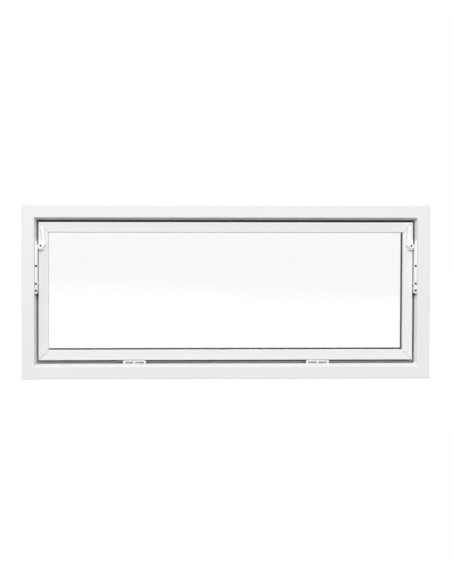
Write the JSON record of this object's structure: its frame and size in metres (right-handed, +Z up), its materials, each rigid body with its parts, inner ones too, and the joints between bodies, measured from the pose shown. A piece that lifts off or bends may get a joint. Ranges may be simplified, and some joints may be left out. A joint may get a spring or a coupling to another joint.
{
  "type": "bottom-hung window with side stays",
  "caption": "White plastic window whose glazed sash hangs on bottom hinges and tilts inwards, held by slotted side stays with cranked release levers.",
  "frame": {"origin": "middle of the frame's underside", "axes": "+X to the right seen from the room, +Y out of the room through the window, +Z up"},
  "size_m": [1.2, 0.07, 0.51],
  "materials": {
    "white_profile": "satin gloss",
    "galvanised_steel": "galvanised",
    "clear_glass": "clear float",
    "seal_rubber": "matt",
    "sealant": "matt",
    "spacer": "matt",
    "packer_plastic": "moulded",
    "dark_screws": "passivated",
    "white_hardware": "powder coated",
    "zinc_steel": "zinc plated"
  },
  "bodies": {
    "frame": {"frame_sill": "white_profile", "frame_head": "white_profile", "frame_left_jamb": "white_profile", "frame_right_jamb": "white_profile", "frame_steel_bottom": "galvanised_steel", "frame_steel_top": "galvanised_steel", "frame_steel_left": "galvanised_steel", "frame_steel_right": "galvanised_steel", "frame_seal": "seal_rubber", "hinge_frame_screws": "dark_screws", "stay_plate_screws": "dark_screws", "left_hinge_frame_leaf": "white_hardware", "left_hinge_pin": "white_hardware", "left_stay_plate": "white_hardware", "left_stay_slide_stud": "zinc_steel", "left_stay_buffer": "seal_rubber", "right_hinge_frame_leaf": "white_hardware", "right_hinge_pin": "white_hardware", "right_stay_plate": "white_hardware", "right_stay_slide_stud": "zinc_steel", "right_stay_buffer": "seal_rubber"},
    "sash": {"sash_bottom_rail": "white_profile", "sash_top_rail": "white_profile", "sash_left_stile": "white_profile", "sash_right_stile": "white_profile", "sash_steel_bottom": "galvanised_steel", "sash_steel_top": "galvanised_steel", "sash_steel_left": "galvanised_steel", "sash_steel_right": "galvanised_steel", "glazing_bead_bottom": "white_profile", "glazing_bead_top": "white_profile", "glazing_bead_left": "white_profile", "glazing_bead_right": "white_profile", "inner_pane": "clear_glass", "outer_pane": "clear_glass", "spacer_bar": "spacer", "edge_sealant": "sealant", "setting_blocks": "packer_plastic", "front_glazing_gasket": "seal_rubber", "rear_glazing_gasket": "seal_rubber", "hinge_sash_screws": "dark_screws", "stay_bracket_screws": "white_hardware", "left_hinge_sash_leaf": "white_hardware", "left_stay_bracket": "white_hardware", "right_hinge_sash_leaf": "white_hardware", "right_stay_bracket": "white_hardware"},
    "left_stay": {"left_stay_arm": "white_hardware", "left_stay_pivot_pin": "zinc_steel"},
    "left_crank": {"left_crank_lever": "white_hardware", "left_crank_spindle": "dark_screws"},
    "right_stay": {"right_stay_arm": "white_hardware", "right_stay_pivot_pin": "zinc_steel"},
    "right_crank": {"right_crank_lever": "white_hardware", "right_crank_spindle": "dark_screws"}
  },
  "joints": [
    {"name": "sash_tilt", "type": "hinge", "parent": "frame", "child": "sash", "pos_m": [0, -0.0195, 0.0502], "axis": [1, 0, 0], "range_deg": [0, 15]},
    {"name": "left_stay_swing", "type": "hinge", "parent": "sash", "child": "left_stay", "pos_m": [-0.5529, -0.0248, 0.3852], "axis": [1, 0, 0], "range_deg": [-0.1, 30]},
    {"name": "left_crank_turn", "type": "hinge", "parent": "sash", "child": "left_crank", "pos_m": [-0.5448, -0.0345, 0.3907], "axis": [0, 1, 0], "range_deg": [0, 90]},
    {"name": "right_stay_swing", "type": "hinge", "parent": "sash", "child": "right_stay", "pos_m": [0.5529, -0.0248, 0.3852], "axis": [1, 0, 0], "range_deg": [-0.1, 30]},
    {"name": "right_crank_turn", "type": "hinge", "parent": "sash", "child": "right_crank", "pos_m": [0.5448, -0.0345, 0.3907], "axis": [0, -1, 0], "range_deg": [0, 90]}
  ],
  "couplings": [
    {"joint": "left_stay_swing", "follows": "sash_tilt", "ratio": 1.8743},
    {"joint": "right_stay_swing", "follows": "sash_tilt", "ratio": 1.8743}
  ]
}
